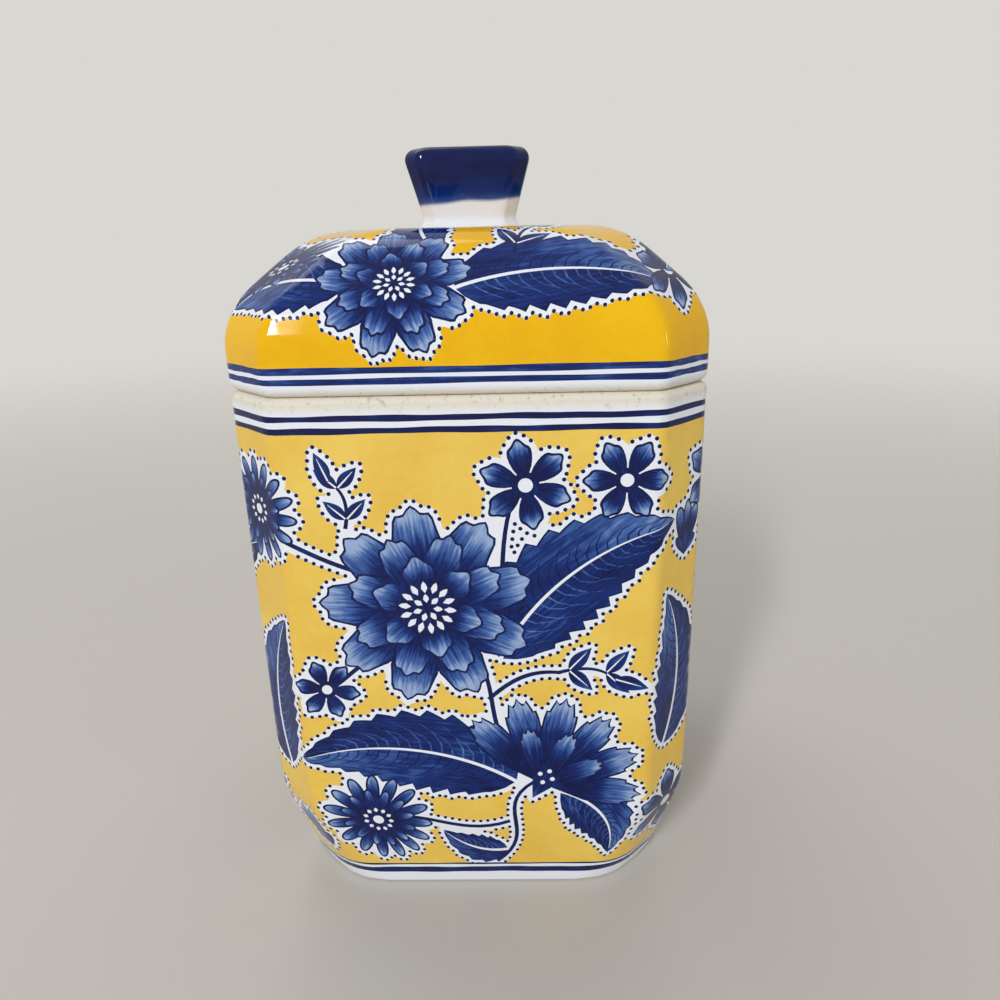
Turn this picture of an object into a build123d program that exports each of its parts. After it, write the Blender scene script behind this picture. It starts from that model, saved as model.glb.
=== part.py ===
"""A square glazed ceramic canister with cut corners, and its domed lift-off lid.

The jar stands on Z = 0 with its centre line on Z. A width is measured flat to flat
across two opposite sides. A corner cut is how far in from the square's sharp corner,
along its diagonal, the flat of a cut corner lies. All lengths are in millimetres.
"""

import os
from math import atan2, cos, hypot, pi, sin, sqrt, tan

from build123d import *

# Jar
jar_height = 168.0
jar_width = 136.0
corner_cut = 10.2
knee_height = 33.0
knee_blend = 2.8
foot_width = 125.5
foot_corner_cut = 14.2
corner_round = 5.0
foot_corner_round = 28.0
wall = 6.0
floor_thickness = 8.0
inside_corner_round = 5.0
inside_floor_round = 8.0
rim_outer_round = 2.0
rim_inner_round = 1.2
foot_ring_width = 8.0
foot_recess = 2.5
foot_edge_round = 1.2

# Lid
shoulder_height = 21.6
shoulder_round = 24.0
lid_height = 43.0
crown_width = 91.0
crown_corner_cut = 10.9
crown_round = 26.0
lid_edge_round = 3.2

# Locating flange under the lid
flange_clearance = 1.2
flange_wall = 5.0
flange_depth = 10.0
flange_lap = 8.0
flange_edge_round = 1.5

# Knob
knob_height = 23.2
knob_top_width = 40.4
knob_neck_height = 1.6
knob_neck_width = 28.4
knob_neck_round = 3.2
knob_root_width = 32.6
knob_corner_cut = 2.8
knob_corner_round = 2.2
knob_edge_round = 3.6

# The lid's skirt is as thick as the rim and the flange's clearance together, so the
# flange's outer faces carry on straight down from the inside of the skirt.
lid_wall = wall + flange_clearance
crown_top = jar_height + lid_height
crown_inset = (jar_width - crown_width) / 2
overshoot = 2.0

# How the outlines are cut into level sections, as shares of each stretch
below_knee = (0, 0.6, 0.8, 0.92, 1)
above_knee = (0.03, 0.07, 0.14, 0.3, 1)
along_arc = (0, 0.2, 0.4, 0.6, 0.8)


class EightSided(BaseSketchObject):
    """A square with its corners cut off and all eight corners rounded, shrunk by a depth."""

    def __init__(self, width, cut, rounding, depth=0, mode=Mode.ADD):
        with BuildSketch() as plan:
            side = width - 2 * depth
            Rectangle(side, side)
            diagonal = width * sqrt(2) - 2 * cut - 2 * depth
            Rectangle(diagonal, diagonal, rotation=45, mode=Mode.INTERSECT)
            fillet(plan.vertices(), rounding)
        super().__init__(obj=plan.sketch, rotation=0, align=None, mode=mode)


def between(low, high, share):
    """The value that lies a share of the way from low to high."""
    return low + (high - low) * share


def jar_levels(bottom, top):
    """Heights up the jar, closest together where its sides turn at the knee."""
    low = [between(bottom, knee_height, share) for share in below_knee]
    high = [between(knee_height, top, share) for share in above_knee]
    return low + high


def jar_section(height):
    """The jar's outer width, corner cut and rounding at a height.

    They change steadily from the foot's to the walls' and level off in a soft knee.
    """
    climb = height / knee_height
    rise = (climb + 1) / 2 - hypot((climb - 1) / 2, knee_blend / knee_height)
    return (
        between(foot_width, jar_width, rise),
        between(foot_corner_cut, corner_cut, rise),
        between(foot_corner_round, corner_round, rise),
    )


def hollow_levels():
    """Heights and depths inside the jar: the rounded edge of its floor, then its walls."""
    for share in along_arc:
        turn = share * pi / 2
        yield (
            floor_thickness + inside_floor_round * (1 - cos(turn)),
            wall + inside_floor_round * (1 - sin(turn)),
        )
    for height in jar_levels(floor_thickness + inside_floor_round, jar_height + overshoot):
        yield height, wall


def rounded_points(outline, rounds):
    """Points up a rounded outline, short of its last stretch, which is the level top."""
    with BuildLine(mode=Mode.PRIVATE) as path:
        FilletPolyline(*outline, radius=rounds)
    stretches = path.edges().sort_by(path.wires()[0])[:-1]
    for stretch in stretches:
        shares = along_arc if stretch.geom_type == GeomType.CIRCLE else along_arc[:1]
        yield from (stretch @ share for share in shares)
    yield stretches[-1] @ 1


def lid_sections(depth, bottom):
    """Height, width and corner cut up the lid's outline at a depth under its outer face.

    The width and the cut are those of the outer face, before that depth comes off them.
    """
    hip_angle = atan2(lid_height - shoulder_height, crown_inset)
    outline = (
        (0, bottom),
        (0, shoulder_height - depth * tan((pi / 2 - hip_angle) / 2)),
        (crown_inset - depth * (1 - tan(hip_angle / 2)), lid_height - depth),
        (jar_width / 2, lid_height - depth),
    )
    for point in rounded_points(outline, (shoulder_round - depth, crown_round - depth)):
        cut = between(corner_cut, crown_corner_cut, point.X / crown_inset)
        yield jar_height + point.Y, jar_width - 2 * point.X, cut


def knob_sections():
    """Height and width up the knob: flared root, neck, grip and rounded top edge."""
    outline = (
        (knob_root_width / 2, 0),
        (knob_neck_width / 2, knob_neck_height),
        (knob_top_width / 2, knob_height),
        (0, knob_height),
    )
    for point in rounded_points(outline, (knob_neck_round, knob_edge_round)):
        yield crown_top + point.Y, 2 * point.X


# Inside of the jar, from its floor to just above the rim
with BuildPart() as jar_hollow:
    for level, depth in hollow_levels():
        width, cut, _ = jar_section(level)
        with BuildSketch(Plane.XY.offset(level)):
            EightSided(width, cut, inside_corner_round, depth)
    loft(ruled=True)

# Jar: upright walls that turn in to a smaller foot, a floor, and a ring under the foot
with BuildPart() as jar_body:
    for level in jar_levels(0, jar_height):
        with BuildSketch(Plane.XY.offset(level)):
            EightSided(*jar_section(level))
    loft(ruled=True)
    add(jar_hollow.part, mode=Mode.SUBTRACT)
    with BuildSketch():
        EightSided(*jar_section(0))
        offset(amount=-foot_ring_width, mode=Mode.REPLACE)
    extrude(amount=foot_recess, mode=Mode.SUBTRACT)
    fillet(jar_body.faces().sort_by(Axis.Z)[-1].outer_wire().edges(), rim_outer_round)
    fillet(jar_body.faces().sort_by(Axis.Z)[-1].inner_wires()[0].edges(), rim_inner_round)
    fillet(jar_body.faces().sort_by(Axis.Z)[0].outer_wire().edges(), foot_edge_round)

# Hollow under the dome, from just below the seat
with BuildPart() as lid_hollow:
    for level, width, cut in lid_sections(lid_wall, -overshoot):
        with BuildSketch(Plane.XY.offset(level)):
            EightSided(width, cut, inside_corner_round, lid_wall)
    loft(ruled=True)

# Lid: an upright skirt that seats on the rim, a sloping hip and a level crown
with BuildPart() as lid_shell:
    for level, width, cut in lid_sections(0, 0):
        with BuildSketch(Plane.XY.offset(level)):
            EightSided(width, cut, corner_round)
    loft(ruled=True)
    add(lid_hollow.part, mode=Mode.SUBTRACT)
    fillet(lid_shell.faces().sort_by(Axis.Z)[0].outer_wire().edges(), lid_edge_round)

# Locating flange: a ring stuck inside the skirt that hangs into the jar's mouth
with BuildPart() as lid_flange:
    with BuildSketch(Plane.XY.offset(jar_height - flange_depth)):
        EightSided(jar_width, corner_cut, inside_corner_round, lid_wall)
        offset(amount=-flange_wall, mode=Mode.SUBTRACT)
    extrude(amount=flange_depth + flange_lap)
    fillet(lid_flange.faces().sort_by(Axis.Z)[0].edges(), flange_edge_round)

# Knob: a flared grip stuck on the crown
with BuildPart() as knob:
    for level, width in knob_sections():
        with BuildSketch(Plane.XY.offset(level)):
            EightSided(width, knob_corner_cut, knob_corner_round)
    loft(ruled=True)

os.makedirs("parts", exist_ok=True)
jar_body.part.label = "jar_body"
export_step(jar_body.part, "parts/jar_body.step")
lid_shell.part.label = "lid_shell"
export_step(lid_shell.part, "parts/lid_shell.step")
lid_flange.part.label = "lid_flange"
export_step(lid_flange.part, "parts/lid_flange.step")
knob.part.label = "knob"
export_step(knob.part, "parts/knob.step")
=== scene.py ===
"""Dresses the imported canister: painted jar, domed lid, dipped knob, wiped flange and the stage.

The skins of the jar and the lid are drawn flat first, on a sheet in millimetres, with
every petal, leaf, dot and stripe as a closed outline. The sheet is then cut into one mesh
along those outlines and wrapped round the pot, so the painting is part of the surface.
"""

from collections import namedtuple
from math import atan2, cos, pi, sin, sqrt, tan

import bpy
import numpy as np
from bpy.props import FloatProperty, FloatVectorProperty, PointerProperty
from mathutils import Matrix, Quaternion, Vector
from mathutils.geometry import delaunay_2d_cdt


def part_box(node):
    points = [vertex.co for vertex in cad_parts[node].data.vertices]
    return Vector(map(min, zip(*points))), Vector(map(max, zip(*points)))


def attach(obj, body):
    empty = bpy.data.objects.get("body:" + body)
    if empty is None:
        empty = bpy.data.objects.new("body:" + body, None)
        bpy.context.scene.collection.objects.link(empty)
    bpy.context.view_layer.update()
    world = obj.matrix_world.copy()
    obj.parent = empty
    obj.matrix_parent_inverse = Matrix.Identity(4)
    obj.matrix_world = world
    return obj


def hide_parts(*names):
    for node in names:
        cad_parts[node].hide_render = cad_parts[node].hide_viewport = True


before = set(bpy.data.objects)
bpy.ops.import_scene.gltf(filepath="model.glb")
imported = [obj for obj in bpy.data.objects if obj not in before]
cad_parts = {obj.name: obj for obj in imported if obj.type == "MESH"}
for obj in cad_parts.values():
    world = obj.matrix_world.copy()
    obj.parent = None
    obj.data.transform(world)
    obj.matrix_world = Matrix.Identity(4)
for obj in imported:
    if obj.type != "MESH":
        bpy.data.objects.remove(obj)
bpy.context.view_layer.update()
JAR_LOW, JAR_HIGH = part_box("jar_body")
LID_LOW, LID_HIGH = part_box("lid_shell")
KNOB_LOW, KNOB_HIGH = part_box("knob")

bl_info = {
    "name": "Painted Canister",
    "version": (1, 0, 0),
    "blender": (4, 5, 0),
    "location": "3D View > Sidebar > Canister",
    "description": "Dresses the packed canister in painted and glazed ceramic",
    "category": "Object",
}

MM = 0.001


def linear(code):
    """An sRGB hex colour as linear red, green and blue."""
    shares = [int(code[i:i + 2], 16) / 255 for i in (1, 3, 5)]
    return tuple(s / 12.92 if s <= 0.04045 else ((s + 0.055) / 1.055) ** 2.4 for s in shares)


def length(name, description, millimetres):
    """A size that the user can change."""
    return FloatProperty(
        name=name, description=description, default=millimetres * MM, min=0, unit="LENGTH"
    )


def colour(name, description, code):
    """A colour that the user can change."""
    return FloatVectorProperty(
        name=name, description=description, default=linear(code), min=0, max=1,
        subtype="COLOR", size=3
    )


class CanisterSizes(bpy.types.PropertyGroup):
    """Sizes of the pot's outlines and of the painting on it."""

    jar_width: length("Jar width", "Flat to flat across the walls", (JAR_HIGH[0] - JAR_LOW[0]) / MM)
    jar_height: length("Jar height", "From the table to the rim", JAR_HIGH[2] / MM)
    corner_cut: length("Corner cut", "How far each cut corner lies in from the square's corner", 10.2)
    corner_round: length("Corner rounding", "Radius of the upright edges", 5.0)
    knee_height: length("Knee height", "Where the walls turn in towards the foot", 33.0)
    knee_blend: length("Knee blend", "How softly the walls turn in", 2.8)
    foot_width: length("Foot width", "Flat to flat at the table", 125.5)
    foot_cut: length("Foot corner cut", "Corner cut at the table", 14.2)
    foot_round: length("Foot rounding", "Radius of the upright edges at the table", 28.0)
    foot_edge: length("Foot edge", "Rounding of the foot's lower edge", 1.2)
    foot_ring: length("Foot ring", "Width of the ring that the jar stands on", 8.0)
    foot_recess: length("Foot recess", "Depth of the recess inside the foot ring", 2.5)
    wall: length("Wall", "Thickness of the jar's wall", 6.0)
    floor: length("Floor", "Thickness of the jar's floor", 8.0)
    floor_round: length("Floor rounding", "Radius where the floor meets the wall inside", 8.0)
    rim_outer: length("Rim outer rounding", "Rounding of the rim's outer edge", 2.0)
    rim_inner: length("Rim inner rounding", "Rounding of the rim's inner edge", 1.2)
    lid_height: length("Lid height", "From the rim to the crown", (LID_HIGH[2] - LID_LOW[2]) / MM)
    lid_wall: length("Lid wall", "Thickness of the lid", 7.2)
    lid_edge: length("Lid edge", "Rounding of the lid's lower edge", 3.2)
    shoulder_height: length("Shoulder height", "Where the skirt turns in to the hip", 21.6)
    shoulder_round: length("Shoulder rounding", "Radius between the skirt and the hip", 24.0)
    crown_width: length("Crown width", "Flat to flat where the hip meets the crown", 91.0)
    crown_cut: length("Crown corner cut", "Corner cut at the crown", 10.9)
    crown_round: length("Crown rounding", "Radius between the hip and the crown", 26.0)
    knob_height: length("Knob height", "From the crown to the knob's top", (KNOB_HIGH[2] - KNOB_LOW[2]) / MM)
    knob_top: length("Knob top", "Flat to flat at the top", 40.4)
    knob_neck: length("Knob neck", "Flat to flat at the narrowest", 28.4)
    knob_neck_height: length("Knob neck height", "Height of the narrowest part", 1.6)
    knob_neck_round: length("Knob neck rounding", "Radius of the hollow at the neck", 3.2)
    knob_root: length("Knob root", "Flat to flat where it meets the crown", 32.6)
    knob_cut: length("Knob corner cut", "Corner cut of the knob", 2.8)
    knob_round: length("Knob rounding", "Radius of the knob's upright edges", 2.2)
    knob_edge: length("Knob edge", "Rounding of the knob's top edge", 3.6)
    dot_radius: length("Dot radius", "Radius of the dots round the flowers", 0.64)
    dot_spacing: length("Dot spacing", "From dot to dot along a row", 2.4)
    dot_offset: length("Dot offset", "From a flower's edge to its row of dots", 1.6)
    dot_margin: length("Dot margin", "From a dot's middle to the edge of the white", 0.72)


class CanisterColours(bpy.types.PropertyGroup):
    """Colours of the glazes, the clay, the floor and the backdrop."""

    jar_yellow: colour("Jar yellow", "Warm yellow ground of the jar", "#F0CD60")
    jar_yellow_deep: colour("Jar yellow, deep", "Where the jar's yellow lies thicker", "#E9BE4E")
    lid_yellow: colour("Lid yellow", "Golden yellow ground of the lid", "#F2BF00")
    lid_yellow_deep: colour("Lid yellow, deep", "Where the lid's yellow lies thicker", "#EAB000")
    cobalt_wash: colour("Cobalt wash", "Thinnest cobalt", "#98AFD4")
    cobalt_light: colour("Cobalt, light", "Thin cobalt", "#4266A8")
    cobalt: colour("Cobalt", "Full cobalt", "#0A2C74")
    cobalt_dark: colour("Cobalt, dark", "Cobalt where the brush was loaded", "#02104A")
    white: colour("White", "White ware under clear glaze", "#E9EEF7")
    bisque: colour("Bisque", "Unglazed clay edges", "#E2DCCE")
    grit: colour("Grit", "Specks of kiln grit in the clay", "#8F7C60")
    floor: colour("Floor", "Pale floor", "#C9C5BE")
    backdrop: colour("Backdrop", "Pale backdrop behind the floor", "#D9D7D1")


def sizes():
    """The user's sizes in millimetres."""
    held = bpy.context.scene.canister_sizes
    return {name: getattr(held, name) / MM for name in CanisterSizes.__annotations__}


def colours():
    """The user's colours as linear red, green, blue and full alpha."""
    held = bpy.context.scene.canister_colours
    return {name: (*getattr(held, name), 1.0) for name in CanisterColours.__annotations__}


# Outlines of the pot. A section is a square with cut and rounded corners, given by its
# height, its half width across the flats, its half width across the cut corners and the
# rounding between them. Section rows run up or across a surface.
SIDES = 8
HALF_ARC = pi / 8
# Angles over the rounding of a square edge
QUARTER_TURN = np.linspace(0, pi / 2, 6)
# Keeps a divisor off zero
TINY = 1e-9


def between(low, high, share):
    """The value a share of the way from low to high."""
    return low + (high - low) * share


def section(height, width, cut, rounding, depth=0.0):
    """A row of sections at a depth under the outer face."""
    across = width / 2 - depth
    corner = width / sqrt(2) - cut - depth
    return np.column_stack(np.broadcast_arrays(height, across, corner, rounding))


def jar_section(size, height, depth=0.0, rounding=None):
    """The jar's sections: straight walls that turn in to the foot in a soft knee."""
    climb = height / size["knee_height"]
    blend = size["knee_blend"] / size["knee_height"]
    rise = (climb + 1) / 2 - np.hypot((climb - 1) / 2, blend)
    if rounding is None:
        rounding = between(size["foot_round"], size["corner_round"], rise)
    width = between(size["foot_width"], size["jar_width"], rise)
    cut = between(size["foot_cut"], size["corner_cut"], rise)
    return section(height, width, cut, rounding, depth)


def rounded_path(corners, rounds, steps=14):
    """A line through corners, with an arc at each inner corner."""
    corners = [np.array(corner, float) for corner in corners]
    points = [corners[0]]
    for before, at, after, radius in zip(corners, corners[1:], corners[2:], rounds):
        inward = (before - at) / np.linalg.norm(before - at)
        onward = (after - at) / np.linalg.norm(after - at)
        turn = pi - np.arccos(np.clip(inward @ onward, -1, 1))
        reach = radius * tan(turn / 2)
        middle = (inward + onward) / np.linalg.norm(inward + onward)
        centre = at + middle * radius / cos(turn / 2)
        start = at + inward * reach - centre
        side = np.sign(inward[0] * onward[1] - inward[1] * onward[0])
        for share in np.linspace(0, 1, steps):
            angle = -side * turn * share
            c, s = cos(angle), sin(angle)
            points.append(centre + np.array((c * start[0] - s * start[1], s * start[0] + c * start[1])))
    points.append(corners[-1])
    return np.array(points)


def lid_section(size, depth, bottom):
    """The lid's sections from the skirt over the hip to the middle of the crown."""
    inset = (size["jar_width"] - size["crown_width"]) / 2
    hip = atan2(size["lid_height"] - size["shoulder_height"], inset)
    top = size["lid_height"] - depth
    path = rounded_path(
        (
            (0, bottom),
            (0, size["shoulder_height"] - depth * tan((pi / 2 - hip) / 2)),
            (inset - depth * (1 - tan(hip / 2)), top),
            (size["jar_width"] / 2, top),
        ),
        (size["shoulder_round"] - depth, size["crown_round"] - depth),
    )[:-1]
    cut = between(size["corner_cut"], size["crown_cut"], path[:, 0] / inset)
    width = size["jar_width"] - 2 * path[:, 0]
    rows = section(size["jar_height"] + path[:, 1], width, cut, size["corner_round"], depth)
    middle = rows[-1] * (1, 0, 0, 0)
    return np.vstack((rows, middle))


def travel(rows):
    """How far each section lies along its surface from the first, over the flats."""
    return np.concatenate(((0,), np.cumsum(np.hypot(np.diff(rows[:, 0]), np.diff(rows[:, 1])))))


def along(rows, distance):
    """Sections at distances along a surface."""
    marks = travel(rows)
    return np.column_stack([np.interp(distance, marks, column) for column in rows.T])


def facing(side):
    """The way that a side of the eight looks. The first is the front, which looks along -Y."""
    return side * pi / 4 - pi / 2


def ring_points(side, share, rows):
    """Points round sections: the side of the eight, and the share from -1 to 1 across it.

    Each side takes half of the rounding at each of its ends.
    """
    height, across, corner, rounding = rows.T
    flat = side % 2 == 0
    out = np.where(flat, across, corner)
    half = np.where(flat, corner * sqrt(2) - across, across * sqrt(2) - corner)
    straight = half - rounding * tan(HALF_ARC)
    place = share * (straight + rounding * HALF_ARC)
    past = np.maximum(np.abs(place) - straight, 0)
    bend = past / np.maximum(rounding, TINY)
    run = np.sign(place) * (np.minimum(np.abs(place), straight) + rounding * np.sin(bend))
    out = out - rounding * (1 - np.cos(bend))
    angle = facing(side)
    return np.column_stack((
        out * np.cos(angle) - run * np.sin(angle),
        out * np.sin(angle) + run * np.cos(angle),
        height,
    ))


def round_sides(count):
    """The side of the eight and the share across it, at a count of steps along each side."""
    return np.repeat(np.arange(SIDES), count), np.tile(np.linspace(-1, 1, count + 1)[:-1], SIDES)


# Brushwork. A mark is one closed outline on the sheet with its ink, how dark the ink is at
# the two ends of its axis, and whether it belongs to the outer shape of its flower. STILL
# stands for a mark with no axis of its own.
Mark = namedtuple("Mark", "points ink tones axis body")
GROUND, WHITE, COBALT = range(3)
STILL = ((0.0, 0.0), (0.0, 1.0))


def mark(points, tones=(1.0, 1.0), axis=STILL, body=False, ink=COBALT):
    """One mark of the brush."""
    return Mark(np.asarray(points, float), ink, tones, np.asarray(axis, float), body)


def disc(x, y, radius, count):
    """A round dab."""
    angle = np.arange(count) * 2 * pi / count
    return np.column_stack((x + radius * np.cos(angle), y + radius * np.sin(angle)))


def bend_line(points, count):
    """A smooth line from two, three or four control points."""
    points = np.asarray(points, float)
    share = np.linspace(0, 1, count)[:, None]
    while len(points) > 1:
        if points.ndim == 2:
            points = np.repeat(points[:, None, :], count, axis=1)
        points = points[:-1] * (1 - share) + points[1:] * share
    return points[0]


def sideways(line):
    """One millimetre to the left at each point of a line."""
    way = np.gradient(line, axis=0)
    way /= np.linalg.norm(way, axis=1)[:, None]
    return np.column_stack((-way[:, 1], way[:, 0]))


def stroke(line, start, middle, end):
    """The outline of a brush stroke along a line, with its widths."""
    share = np.linspace(0, 1, len(line))
    width = np.interp(share, (0, 0.5, 1), (start, middle, end)) / 2
    aside = sideways(line) * width[:, None]
    return np.vstack((line + aside, (line - aside)[::-1]))


def petal_outline(reach, spread, lobes=1, ruffle=0.0, count=23):
    """A fan-shaped petal that points up from the origin, with a lobed tip."""
    bluntness = 0.4
    share = np.linspace(-1, 1, count)[:-1]
    far = reach * np.abs(np.cos(share * pi / 2)) ** bluntness
    far *= 1 + ruffle * np.cos(lobes * pi * share)
    return np.column_stack((far * np.sin(share * spread), far * np.cos(share * spread)))


def petal(reach, spread, tip, veins, lobes=1, ruffle=0.0):
    """A petal: dark edge, wash that thins to the tip's tone, and fine veins, long and short."""
    edge = 0.75
    fan = 0.66
    axis = ((0, reach * 0.5), (0, reach * 0.92))
    marks = [mark(petal_outline(reach, spread, lobes, ruffle), body=True)]
    inner = petal_outline(reach - edge, spread - edge / (0.7 * reach), lobes, ruffle)
    marks.append(mark(inner, (1.0, tip), axis))
    for i in range(veins):
        lean = between(-fan, fan, (i + 0.5) / veins) * spread
        root = lean * 0.8
        near = reach * 0.35
        far = reach * (0.8 - 0.1 * (i % 2))
        line = bend_line(((near * sin(root), near * cos(root)), (far * sin(lean), far * cos(lean))), 3)
        marks.append(mark(stroke(line, 0.6, 0.45, 0.12), (1.0, 0.9), axis))
    return marks


def placed(marks, x=0.0, y=0.0, turn=0.0):
    """Marks moved to a place on the sheet, turned anticlockwise in degrees."""
    c, s = cos(turn * pi / 180), sin(turn * pi / 180)
    matrix = np.array(((c, s), (-s, c)))
    return [
        one._replace(points=one.points @ matrix + (x, y), axis=one.axis @ matrix + (x, y)) for one in marks
    ]


def ring_of(marks, count, start=0.0):
    """Copies of marks turned round the origin."""
    return [one for i in range(count) for one in placed(marks, turn=start + 360 * i / count)]


def seeds(radius, count, reach, half):
    """A ring of small white seeds that point outwards."""
    lens = np.array(((0, -reach), (half, -reach * 0.2), (half * 0.7, reach * 0.5), (0, reach),
                     (-half * 0.7, reach * 0.5), (-half, -reach * 0.2))) + (0, radius)
    return ring_of([mark(lens, ink=WHITE)], count)


def peony(radius):
    """A full round bloom of three rows of ruffled petals round a seeded heart."""
    outer = petal(radius, spread=0.46, tip=0.08, veins=6, lobes=5, ruffle=0.03)
    middle = petal(radius * 0.76, spread=0.48, tip=0.1, veins=5, lobes=5, ruffle=0.03)
    inner = petal(radius * 0.53, spread=0.6, tip=0.12, veins=4, lobes=3, ruffle=0.04)
    marks = ring_of(outer, 9) + ring_of(middle, 8, start=20) + ring_of(inner, 6, start=5)
    marks.append(mark(disc(0, 0, radius * 0.3, 24)))
    marks += seeds(radius * 0.215, count=14, reach=radius * 0.06, half=radius * 0.03)
    marks += seeds(radius * 0.1, count=7, reach=radius * 0.045, half=radius * 0.028)
    return marks


def aster(radius):
    """An open flower of many narrow petals in two rows."""
    outer = petal(radius, spread=0.24, tip=0.1, veins=2)
    inner = petal(radius * 0.7, spread=0.28, tip=0.15, veins=2)
    marks = ring_of(outer, 15) + ring_of(inner, 12, start=9)
    marks.append(mark(disc(0, 0, radius * 0.34, 22)))
    marks += seeds(radius * 0.23, count=11, reach=radius * 0.05, half=radius * 0.04)
    marks.append(mark(disc(0, 0, radius * 0.1, 12), ink=WHITE))
    return marks


def blossom(radius):
    """A small flower of six wavy petals."""
    marks = ring_of(petal(radius, spread=0.52, tip=0.05, veins=5, lobes=3, ruffle=0.04), 6)
    marks.append(mark(disc(0, 0, radius * 0.3, 18)))
    marks.append(mark(disc(0, 0, radius * 0.16, 14), ink=WHITE))
    return marks


def carnation(radius):
    """A fan of toothed petals seen from the side, on a spotted cup."""
    outer = petal(radius, spread=0.34, tip=0.08, veins=5, lobes=7, ruffle=0.04)
    inner = petal(radius * 0.66, spread=0.36, tip=0.12, veins=4, lobes=7, ruffle=0.04)
    marks = []
    for lean in (70, -70, 42, -42, 14, -14):
        marks += placed(outer, turn=lean)
    for lean in (40, -40, 0):
        marks += placed(inner, turn=lean)
    low, high = (0, -radius * 0.2), (0, radius * 0.25)
    cup = petal_outline(radius * 0.46, spread=0.55) + low
    marks.append(mark(cup, (0.75, 1.0), (low, high), body=True))
    for x, y in ((0, 0.02), (0.07, 0.1), (-0.07, 0.1), (0, 0.17)):
        marks.append(mark(disc(x * radius, y * radius, radius * 0.026, 7), ink=WHITE))
    return marks


def leaf(reach, half, sway, teeth):
    """A toothed leaf that points up and sways sideways, with a white midrib and veins."""
    count = 4 * teeth + 1
    share = np.linspace(0, 1, count)
    bends = (0, 0), (-sway * 0.7, reach * 0.35), (-sway * 0.2, reach * 0.75), (sway, reach)
    spine = bend_line(bends, count)
    aside = sideways(spine)
    broad = half * np.sin(pi * share ** 0.72) ** 0.85
    tooth = 1 - 0.2 * np.abs(((share * teeth) % 1) - 1) * np.minimum(1, 4 * share)
    edge = (broad * tooth)[:, None]
    axis = ((0, 0), (sway, reach))
    marks = [mark(np.vstack((spine + aside * edge, (spine - aside * edge)[-2:0:-1])), body=True)]
    rim = 0.6
    inner = aside * (edge - rim)
    first, *_, last = np.nonzero(edge[:, 0] > rim + 0.2)[0]
    run = spine[first - 1:last + 2]
    pale = np.vstack((run, (spine + inner)[last:first - 1:-1]))
    dark = np.vstack((run, (spine - inner)[last:first - 1:-1]))
    marks.append(mark(pale, (1.0, 0.3), axis))
    marks.append(mark(dark, (0.7, 0.95), axis))
    for side, tones in ((1, (1.0, 1.0)), (-1, (0.4, 0.6))):
        for i in range(2 * teeth - 4):
            low = 2 * i + 3
            high = min(low + 5, count - 3)
            tip = spine[high] + side * aside[high] * edge[high] * (0.8 - 0.25 * (i % 2))
            hinge = spine[low] + side * aside[low] * edge[low] * 0.4
            line = bend_line((spine[low], hinge, tip), 4)
            marks.append(mark(stroke(line, 0.6, 0.38, 0.1), tones, axis))
    marks.append(mark(stroke(spine[:-2], 1.2, 0.85, 0.15), ink=WHITE))
    return marks


def bud(reach):
    """A closed tulip-like bud on its sepals."""
    marks = []
    for lean in (16, -16):
        marks += placed(petal(reach, spread=0.3, tip=0.15, veins=3), turn=lean)
    marks += petal(reach * 1.08, spread=0.24, tip=0.05, veins=3)
    sepal = mark(petal_outline(reach * 0.48, spread=0.34, count=15), (1.0, 0.75), body=True)
    for lean in (38, -38, 0):
        marks += placed([sepal], turn=lean)
    return marks


def leaflet(reach, half):
    """A small smooth leaf with a paler tip and one white vein."""
    share = np.linspace(0, 1, 13)
    broad = half * np.sin(pi * share ** 0.8)
    outline = np.vstack((
        np.column_stack((broad, share * reach)), np.column_stack((-broad, share * reach))[-2:0:-1]))
    line = bend_line(((0, reach * 0.04), (0, reach * 0.8)), 5)
    return [
        mark(outline, (1.0, 0.6), ((0, 0), (0, reach)), body=True),
        mark(stroke(line, 0.5, 0.45, 0.1), ink=WHITE),
    ]


def stem(*points, width=1.4):
    """A curved stem."""
    return [mark(stroke(bend_line(points, 16), width, width, width * 0.8), body=True)]


def sprig(reach, sway):
    """A curved stalk with two pairs of small leaves and one at its tip."""
    spine = bend_line(((0, 0), (-sway, reach * 0.5), (sway, reach * 0.7)), 15)
    marks = [mark(stroke(spine, 1.2, 1.0, 0.7), body=True)]
    for at in (spine[2], spine[11]):
        for lean in (46, -46):
            marks += placed(leaflet(reach * 0.42, reach * 0.095), *at, lean)
    marks += placed(leaflet(reach * 0.46, reach * 0.1), *spine[-1], -20 * np.sign(sway))
    return marks


def bunch(*rows):
    """Flowers and leaves, each row with a maker, its place, its turn in degrees and the maker's sizes."""
    return [one for maker, x, y, turn, *given in rows for one in placed(maker(*given), x, y, turn)]


# The white border round the flowers. How far each point of the sheet lies from the nearest
# flower, up to FAR, is held on a grid, and the border and its rows of dots follow lines of
# equal distance. A gap of up to SMALL_GAP square millimetres stays white.
GRID = 0.6
FAR = 9.0
SMALL_GAP = 16.0
# A dot nearer to another than this share of the spacing is left out
CROWDED = 0.7
DOT_TONE = 1.1
# An edge shorter than this is one point twice
SHORTEST = 1e-6
# For each way that a cell's four corners can lie within, the sides where a line comes in and goes out
LINKS = {
    1: ((0, 3),), 2: ((1, 0),), 3: ((1, 3),), 4: ((2, 1),), 5: ((0, 3), (2, 1)),
    6: ((2, 0),), 7: ((2, 3),), 8: ((3, 2),), 9: ((0, 2),), 10: ((1, 0), (3, 2)),
    11: ((1, 2),), 12: ((3, 1),), 13: ((0, 1),), 14: ((3, 0),),
}


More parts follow.
